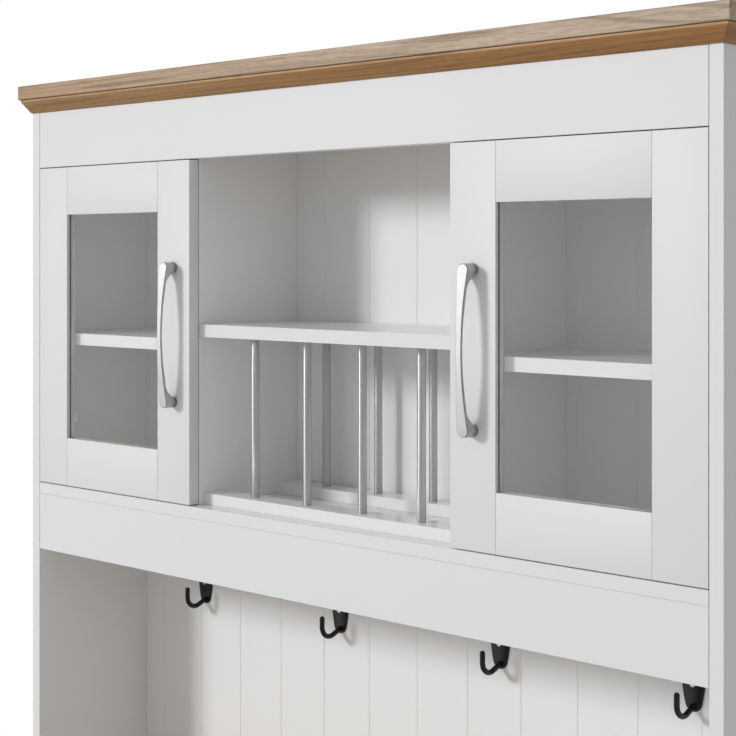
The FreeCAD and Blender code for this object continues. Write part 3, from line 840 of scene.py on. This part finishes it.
def handleShell(middle, upright):
    # The outline's loop is carried from the bow of the front to the inner depth: out round the front
    # edge, straight back, and in round the rear edge, where the feet are rounded towards the middle.
    h = handleLook
    half = h["length"] / 2
    z, near = handleStations().T
    bowCentre, bow = circleThrough((half, h["endReach"]), (0, h["reach"]), (-half, h["endReach"]))
    far = bowCentre[1] + np.sqrt(bow ** 2 - z ** 2)
    rearZ = z + footPush(z, near, handleWidth(z))
    nearBoth, farBoth = np.concatenate([near, near[::-1]]), np.concatenate([far, far[::-1]])
    loop, outward = loopOf(z)
    plan, depths = [], []
    for turn in np.linspace(0, math.pi / 2, h["edgeSteps"]):
        plan.append(loop - h["edge"] * (1 - math.sin(turn)) * outward)
        depths.append(farBoth - h["edge"] * (1 - math.cos(turn)))
    loop, outward = loopOf(rearZ)
    for turn in np.linspace(0, math.pi / 2, h["rearSteps"]):
        plan.append(loop - h["rearEdge"] * (1 - math.cos(turn)) * outward)
        depths.append(nearBoth + h["rearEdge"] * (1 - math.sin(turn)))
    # Points between the loop's two sides, at every station but the first and the last
    count, rows = len(z), len(plan)
    last = (rows - 1) * 2 * count
    inside = np.arange(1, count - 1)
    grid = np.zeros((count - 2, h["across"]), dtype=int)
    grid[:, 0], grid[:, -1] = last + inside, last + 2 * count - 1 - inside
    grid[:, 1:-1] = rows * 2 * count + np.arange((count - 2) * (h["across"] - 2)).reshape(count - 2, -1)
    x = plan[-1][inside, :1] * np.linspace(1, -1, h["across"])[1:-1]
    inner = z[inside, None] + footPush(z[inside, None], near[inside, None], x)
    plan.append(np.stack([x, inner], -1).reshape(-1, 2))
    depths.append(np.broadcast_to(near[inside, None], x.shape).reshape(-1))
    (x, along), depth = np.concatenate(plan).T, np.concatenate(depths)
    if upright:
        points = np.stack([middle[0] + x, middle[1] - depth, middle[2] + along], -1)
    else:
        points = np.stack([middle[0] + along, middle[1] - depth, middle[2] - x], -1)
    faces = [tuple(q) for q in cellsOf(rows, 2 * count, True)]
    for i in range(count - 1):
        faces.append((2 * count - 1 - i, 2 * count - 2 - i, i + 1, i))
    faces += [tuple(grid.reshape(-1)[q[::-1]]) for q in cellsOf(count - 2, h["across"])]
    faces += [(last, *grid[0], last + 2 * count - 1), (last + count, *grid[-1][::-1], last + count - 1)]
    return points, faces


def makeHandles():
    for node in sorted(frame["nodes"]):
        if not node.endswith("_handle"):
            continue
        lo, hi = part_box(node)
        middle = ((lo[0] + hi[0]) / 2, hi[1], (lo[2] + hi[2]) / 2)
        upright = hi[2] - lo[2] > hi[0] - lo[0]
        look = slotOf[node] if upright else "satinAcross"
        shell = handleShell(middle, upright)
        handle = addPiece(camel(node), [shell], look, slotOf[node], bodyOf[node], [node])
        handle.data.set_sharp_from_angle(angle=math.radians(handleLook["sharpAngle"]))
        even = handle.modifiers.new("even", "WEIGHTED_NORMAL")
        even.keep_sharp = True


makeHandles()
print("handles made")

rodLook = {"spacing": 0.0946, "radius": 0.0053, "count": 4, "sides": 48, "arris": 0.0004}


def turnedShell(profile, sides, base):
    # A profile of (radius, height) turned about the upright line through the base point
    angle = np.linspace(0, 2 * math.pi, sides, endpoint=False)
    radius, height = np.array(profile).T[:, :, None]
    x, y = radius * np.cos(angle), radius * np.sin(angle)
    points = np.stack([x, y, np.broadcast_to(height, x.shape)], -1)
    return points.reshape(-1, 3) + np.array(base), cappedFaces(len(profile), sides)


def makeRods():
    lo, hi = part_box("rack_rods")
    r, a = rodLook["radius"], rodLook["arris"]
    tall = hi[2] - lo[2]
    profile = [(r - a, 0), (r, a), (r, tall * 0.5), (r, tall - a), (r - a, tall)]
    shells = []
    for y in (lo[1] + r, hi[1] - r):
        for i in range(rodLook["count"]):
            x = (i - (rodLook["count"] - 1) / 2) * rodLook["spacing"]
            shells.append(turnedShell(profile, rodLook["sides"], (x, y, lo[2])))
    addPiece("rackRods", shells, "rodMetal", slotOf["rack_rods"], bodyOf["rack_rods"], ["rack_rods"])


makeRods()

hookLook = {
    "count": 4, "spacing": 0.2754, "plate": 0.002, "width": 0.0292, "height": 0.057,
    "wire": 0.0034, "reach": 0.0367, "bend": 0.0152, "rootRise": 0.0072, "lowDrop": 0.0007,
    "tipRise": 0.0255, "shieldWidth": (0.428, 0.353), "shieldHeight": (0.31, 0.14), "shoulder": 0.56,
    "edge": 0.0006, "footSteps": 13, "flankSteps": 9, "headSteps": 17,
    "sides": 24, "bendSteps": 17, "runSteps": 6, "domeSteps": 8,
}


def shieldShell(x, y, z):
    # The plate: its outline, four arcs, stacked from the back face to the front one and drawn in
    # towards its middle at the front edge
    h = hookLook
    half = h["width"] / 2
    near, foot = (share * h["width"] for share in h["shieldWidth"])
    zNear, zLow = (share * h["height"] for share in h["shieldHeight"])
    shoulder = h["shoulder"] * h["height"]
    head = h["height"]
    outline = np.concatenate([
        arcPoints((-foot, zLow), (0, 0), (foot, zLow), h["footSteps"])[:-1],
        arcPoints((foot, zLow), (near, zNear), (half, shoulder), h["flankSteps"])[:-1],
        arcPoints((half, head - half), (0, head), (-half, head - half), h["headSteps"]),
        arcPoints((-half, shoulder), (-near, zNear), (-foot, zLow), h["flankSteps"])[:-1],
    ])
    middle = np.array([0, head / 2])
    drawn = h["edge"] * (outline - middle) / np.linalg.norm(outline - middle, axis=1, keepdims=True)
    front, edge = h["plate"], h["edge"]
    layers = [(0, 0.0), (front - edge, 0.0), (front - 0.3 * edge, 0.3), (front, 1.0)]
    rings = []
    for depth, share in layers:
        flat = outline - share * drawn
        rings.append(np.stack([x + flat[:, 0], np.full(len(flat), y - depth), z + flat[:, 1]], -1))
    points = np.array(rings)
    return points.reshape(-1, 3), cappedFaces(*points.shape[:2])


def wireShell(x, y, z):
    # The J: a circle carried straight from the plate to the bend, round it and up, its radius
    # falling as a cosine over the dome at the tip
    h = hookLook
    r = h["wire"]
    out, rise = h["reach"] - h["bend"], h["bend"] - h["lowDrop"] - h["rootRise"]
    span = math.hypot(out, rise)
    slope = math.atan2(rise, out) - math.asin(h["bend"] / span)
    run = math.sqrt(span ** 2 - h["bend"] ** 2)
    turn = np.linspace(slope - math.pi / 2, 0, h["bendSteps"])
    bend = np.stack([out + h["bend"] * np.cos(turn), h["rootRise"] + rise + h["bend"] * np.sin(turn)], -1)
    straight = np.linspace(0, run, h["runSteps"])[:-1, None] * np.array([math.cos(slope), math.sin(slope)])
    straight = straight + np.array([0, h["rootRise"]])
    rising = np.linspace(bend[-1, 1], h["tipRise"], h["runSteps"])[1:]
    rising = np.stack([np.full(len(rising), h["reach"]), rising], -1)
    path = np.concatenate([straight, bend, rising])
    tangent = np.gradient(path, axis=0)
    tangent /= np.linalg.norm(tangent, axis=1, keepdims=True)
    dome = np.linspace(0, math.pi / 2, h["domeSteps"])[1:-1]
    radius = np.concatenate([np.full(len(path), r), r * np.cos(dome)])
    path = np.concatenate([path, path[-1] + r * np.sin(dome)[:, None] * tangent[-1]])
    tangent = np.concatenate([tangent, np.repeat(tangent[-1:], len(dome), 0)])
    side = np.stack([-tangent[:, 1], tangent[:, 0]], -1)
    angle = np.linspace(0, 2 * math.pi, h["sides"], endpoint=False)
    across = radius[:, None] * np.cos(angle)
    lift = radius[:, None] * np.sin(angle)
    depth = path[:, 0, None] + lift * side[:, 0, None]
    height = path[:, 1, None] + lift * side[:, 1, None]
    points = np.stack([x + across, y - depth, z + height], -1)
    points[..., 1] = np.minimum(points[..., 1], y)
    return points.reshape(-1, 3), [face[::-1] for face in cappedFaces(*points.shape[:2])]


def makeHooks():
    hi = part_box("cup_hooks")[1]
    z = hi[2] - hookLook["height"]
    shells = []
    for i in range(hookLook["count"]):
        x = (i - (hookLook["count"] - 1) / 2) * hookLook["spacing"]
        shells += [shieldShell(x, hi[1], z), wireShell(x, hi[1], z)]
    slot = slotOf["cup_hooks"]
    addPiece("cupHooks", shells, slot, slot, bodyOf["cup_hooks"], ["cup_hooks"])


makeHooks()

# CAD nodes whose shapes are right and only get their finish
for node, shown in frame["nodes"].items():
    shown.data.materials.clear()
    shown.data.materials.append(materials[slotOf[node]])


# Stage: a floor that fades into the white around it, one soft key from the left, and sky light
stageLook = {
    "floor": 0.86, "floorRough": 0.9, "floorSize": 14.0,
    "fadeStart": 1.2, "fadeEnd": 3.5, "floorGlow": 0.45,
    "sky": 0.48, "keyAzimuth": 36.0, "keyElevation": 17.1, "keyDistance": 6.46,
    "keySize": 1.4, "keyPower": 4.9, "aim": (0.0, 0.0, 1.6),
    "stripScale": 2.0, "poles": (0.55, 0.80, 1.0, 0.25),
    "studio": ((0.04, 0.55), (0.08, 1.00), (0.22, 1.20), (0.26, 0.55), (0.62, 0.55), (0.78, 0.30)),
}


def makeFloor():
    half = stageLook["floorSize"] / 2
    mesh = bpy.data.meshes.new("floor")
    corners = [(-half, -half, 0), (half, -half, 0), (half, half, 0), (-half, half, 0)]
    mesh.from_pydata(corners, [], [(0, 1, 2, 3)])
    floor = bpy.data.objects.new("floor", mesh)
    bpy.context.scene.collection.objects.link(floor)
    material, tree, shader, place = newMaterial("paleFloor")
    grey = stageLook["floor"]
    shader.inputs["Base Color"].default_value = (grey, grey, grey, 1)
    shader.inputs["Roughness"].default_value = stageLook["floorRough"]
    away = addNode(tree, "VectorMath", {0: place}, operation="LENGTH").outputs["Value"]
    fade = spread(tree, away, stageLook["fadeStart"], stageLook["fadeEnd"], stageLook["floorGlow"], 1.0)
    path = addNode(tree, "LightPath").outputs
    glow = addNode(tree, "Emission", {"Color": (1, 1, 1, 1), "Strength": 1.0})
    part = math2(tree, "MULTIPLY", fade, path["Is Camera Ray"])
    mix = addNode(tree, "MixShader", {0: part, 1: shader.outputs[0], 2: glow.outputs[0]})
    # What shines sees the studio through the floor
    through = addNode(tree, "BsdfTransparent")
    mix = addNode(tree, "MixShader", {0: path["Is Glossy Ray"], 1: mix.outputs[0], 2: through.outputs[0]})
    tree.links.new(mix.outputs[0], tree.nodes["Material Output"].inputs["Surface"])
    mesh.materials.append(material)


def makeSky():
    world = bpy.data.worlds.new("studio")
    bpy.context.scene.world = world
    world.use_nodes = True
    tree = world.node_tree
    sky = tree.nodes["Background"]
    sky.inputs["Color"].default_value = (1, 1, 1, 1)
    white = addNode(tree, "Background", {"Color": (1, 1, 1, 1), "Strength": 1.0})
    path = addNode(tree, "LightPath").outputs
    seen = math2(tree, "MAXIMUM", path["Is Camera Ray"], path["Is Transmission Ray"])
    # What shines sees a tall pale strip at the key's azimuth and a darker studio on the right: the
    # strength follows x over the level length of the direction, which is the sine of its azimuth,
    # and falls towards straight up and straight down
    s = stageLook
    way = addNode(tree, "TexCoord").outputs["Generated"]
    level = addNode(tree, "VectorMath", {0: way, 1: (1, 1, 0)}, operation="MULTIPLY").outputs[0]
    level = addNode(tree, "VectorMath", {0: level}, operation="NORMALIZE").outputs[0]
    stops = [(place, (bright / s["stripScale"],) * 3) for place, bright in s["studio"]]
    studio = ramp(tree, spread(tree, partOf(tree, level, 0), -1.0, 1.0, 0.0, 1.0), stops)
    shine = math2(tree, "MULTIPLY", addNode(tree, "RGBToBW", {0: studio}).outputs[0], s["stripScale"])
    rise = math1(tree, "ABSOLUTE", partOf(tree, way, 2))
    shine = math2(tree, "MULTIPLY", shine, spread(tree, rise, *s["poles"]))
    tree.links.new(between(tree, path["Is Glossy Ray"], s["sky"], shine), sky.inputs["Strength"])
    mix = addNode(tree, "MixShader", {0: seen, 1: sky.outputs[0], 2: white.outputs[0]})
    tree.links.new(mix.outputs[0], tree.nodes["World Output"].inputs["Surface"])


def makeKey():
    s = stageLook
    azimuth, elevation = math.radians(s["keyAzimuth"]), math.radians(s["keyElevation"])
    level = math.cos(elevation)
    way = np.array([-math.sin(azimuth) * level, -math.cos(azimuth) * level, math.sin(elevation)])
    data = bpy.data.lights.new("keyLight", "AREA")
    data.shape = "DISK"
    data.size = s["keySize"]
    data.energy = s["keyPower"]
    # Its light is as strong at the far end of the buffet as at the near one
    data.use_nodes = True
    even = addNode(data.node_tree, "LightFalloff", {"Strength": 1.0})
    data.node_tree.links.new(even.outputs["Constant"], data.node_tree.nodes["Emission"].inputs["Strength"])
    key = bpy.data.objects.new("keyLight", data)
    bpy.context.scene.collection.objects.link(key)
    key.location = np.array(s["aim"]) + way * s["keyDistance"]
    key.rotation_euler = (math.pi / 2 - elevation, 0, -azimuth)


makeFloor()
makeSky()
makeKey()
bpy.context.scene.view_settings.view_transform = "Standard"
print("stage made")
